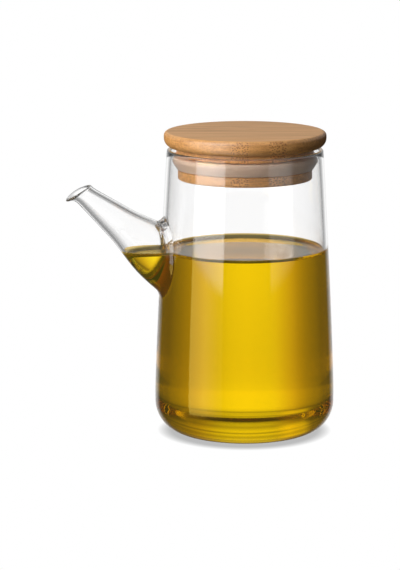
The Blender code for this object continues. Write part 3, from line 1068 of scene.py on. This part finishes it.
def light_through_oil(nodes, backdrop, by_rise, aside, turn, rise):
    """What the oil shows of the backdrop: warmer aside, a little dimmer on the right, with one far window."""
    is_warm = nodes.window(aside, *WARM_ASIDE)
    light = nodes.mix(is_warm, backdrop, nodes.tint(backdrop, BACKDROP_WARMTH))
    light = nodes.mix(nodes.times(nodes.window(turn, *DIM_TURN), DIM_SIDE), light, grey(0.0))
    light = nodes.tint(light, by_rise)
    window = nodes.times(nodes.window(turn, *FAR_WINDOW_TURN), nodes.window(rise, *FAR_WINDOW_RISE))
    return nodes.mix(nodes.times(window, FAR_WINDOW), light, FAR_WINDOW_COLOUR, "ADD")


def after_reflections(nodes, light, reflections, dim):
    """Light as it comes after reflections inside the oil: dimmer, with the green that it lost given back."""
    more = nodes.math("MAXIMUM", nodes.math("SUBTRACT", reflections, 1.0), 0.0)
    regained = nodes.math("POWER", 1.0 / OIL_TINT[1], more)
    red, green, blue = (nodes.math("POWER", part, dim) for part in REFLECTED_DIM)
    left_over = nodes.add("ShaderNodeCombineColor")
    nodes.feed(left_over, "Red", red)
    nodes.feed(left_over, "Green", nodes.times(green, regained))
    nodes.feed(left_over, "Blue", blue)
    return nodes.tint(light, left_over.outputs["Color"])


def transmitted_light(nodes, depth, backdrop, aside, turn, rise, softboxes):
    """What glass and oil show of the studio, told apart by how many skins a ray has crossed."""
    by_rise = nodes.curve(rise, -RISE_LIMIT, RISE_LIMIT, BACKDROP_RISE)
    by_rise = nodes.tint(by_rise, grey(BACKDROP_GLOW))
    through_air = light_through_air(nodes, backdrop, by_rise, aside, rise)
    through_oil = light_through_oil(nodes, backdrop, by_rise, aside, turn, rise)

    further = nodes.math("SUBTRACT", depth, OIL_CROSSINGS)
    reflections = nodes.math("MAXIMUM", nodes.math("DIVIDE", further, CROSSINGS_BY_REFLECTION), 0.0)
    once = nodes.math("MINIMUM", reflections, 1.0)
    once_from_afar = nodes.times(once, nodes.spread(aside, *NEAR_SIDE, 1.0, 0.0))
    through_oil = after_reflections(nodes, through_oil, reflections, once_from_afar)
    oil_softboxes = after_reflections(nodes, softboxes, reflections, once)
    is_oil = nodes.math("GREATER_THAN", depth, DRY_CROSSINGS)
    return nodes.mix(is_oil, nodes.sum(through_air, softboxes), nodes.sum(through_oil, oil_softboxes))


def mirrored_light(nodes, aside, rise, softboxes):
    """What the smooth skins of glass and oil mirror: the softboxes, a pale sky and a glow ahead."""
    sky = nodes.spread(rise, *MIRRORED_SKY_RISE, MIRRORED_DARK, MIRRORED_SKY)
    glow = nodes.spread(aside, *MIRRORED_GLOW_ASIDE, MIRRORED_SKY, MIRRORED_DARK)
    glow = nodes.times(glow, nodes.spread(rise, *MIRRORED_GLOW_RISE, MIRRORED_LOW, 1.0))
    return nodes.sum(nodes.math("MAXIMUM", sky, glow), softboxes)


def sheen_light(nodes, turn, rise):
    """What wood and silicone softly mirror: one broad light on the left, and the sky."""
    light = nodes.times(nodes.window(turn, *SHEEN_TURN), SHEEN_LIGHT)
    return nodes.math("ADD", light, nodes.spread(rise, *SHEEN_SKY_RISE, 0.0, SHEEN_SKY))


def key_light(nodes, towards):
    """What lights wood and silicone: one broad light from the left in front, and a little from all round."""
    key = nodes.add("ShaderNodeVectorMath", operation="DOT_PRODUCT")
    nodes.feed(key, 0, towards)
    nodes.feed(key, 1, KEY_DIRECTION)
    lobe = nodes.math("POWER", nodes.math("MAXIMUM", key.outputs["Value"], 0.0), KEY_SHARPNESS)
    return nodes.math("ADD", nodes.times(lobe, KEY_STRENGTH), AMBIENT)


def make_world():
    """A white studio. Each kind of light path sees its own even, noise-free part of it."""
    world = bpy.data.worlds.new("studio")
    world.use_nodes = True
    bpy.context.scene.world = world
    nodes = Nodes(world.node_tree)
    path = nodes.add("ShaderNodeLightPath").outputs
    towards, turn, rise = studio_directions(nodes)
    aside = nodes.math("ABSOLUTE", turn)
    softboxes = studio_softboxes(nodes, turn, rise)
    backdrop = nodes.curve(aside, 0.0, 180.0, BACKDROP)
    lighting = key_light(nodes, towards)
    sheen = sheen_light(nodes, turn, rise)
    mirrored = nodes.mix(path["Is Singular Ray"], sheen, mirrored_light(nodes, aside, rise, softboxes))
    through = transmitted_light(nodes, path["Transmission Depth"], backdrop, aside, turn, rise, softboxes)

    colour = nodes.mix(path["Is Glossy Ray"], lighting, mirrored)
    colour = nodes.mix(path["Is Transmission Ray"], colour, through)
    is_after_wood = nodes.math("GREATER_THAN", path["Diffuse Depth"], NO_BOUNCE)
    colour = nodes.mix(is_after_wood, colour, lighting)
    colour = nodes.mix(path["Is Camera Ray"], colour, grey(1.0))
    nodes.feed(world.node_tree.nodes["Background"], "Color", colour)


def make_camera():
    """The photograph's view."""
    data = bpy.data.cameras.new("camera")
    data.sensor_fit = "VERTICAL"
    data.sensor_height = SENSOR
    data.lens = SENSOR * FOCAL_PIXELS / PHOTO_HEIGHT
    data.clip_start = VIEW_NEAREST
    data.clip_end = VIEW_FARTHEST
    camera = bpy.data.objects.new("camera", data)
    bpy.context.scene.collection.objects.link(camera)
    across = Vector((math.cos(VIEW_AZIMUTH), math.sin(VIEW_AZIMUTH), 0.0))
    ahead = Vector((-math.sin(VIEW_AZIMUTH), math.cos(VIEW_AZIMUTH), 0.0))
    aim = across * AIM_SIDE + Vector((0.0, 0.0, AIM_HEIGHT))
    camera.location = across * AIM_SIDE - ahead * VIEW_DISTANCE + Vector((0.0, 0.0, VIEW_HEIGHT))
    camera.rotation_euler = (aim - camera.location).to_track_quat("-Z", "Y").to_euler()
    bpy.context.scene.camera = camera


def set_light_paths():
    """Enough bounces for glass within glass, little noise, and true whites."""
    scene = bpy.context.scene
    scene.cycles.max_bounces = CLEAR_BOUNCES
    scene.cycles.transmission_bounces = CLEAR_BOUNCES
    scene.cycles.glossy_bounces = GLOSSY_BOUNCES
    scene.cycles.use_denoising = True
    scene.view_settings.view_transform = "Standard"
    scene.view_settings.look = "None"


set_light_paths()
make_camera()
make_world()
make_floor()
make_glass()
make_oil()
make_lid()
make_seal()
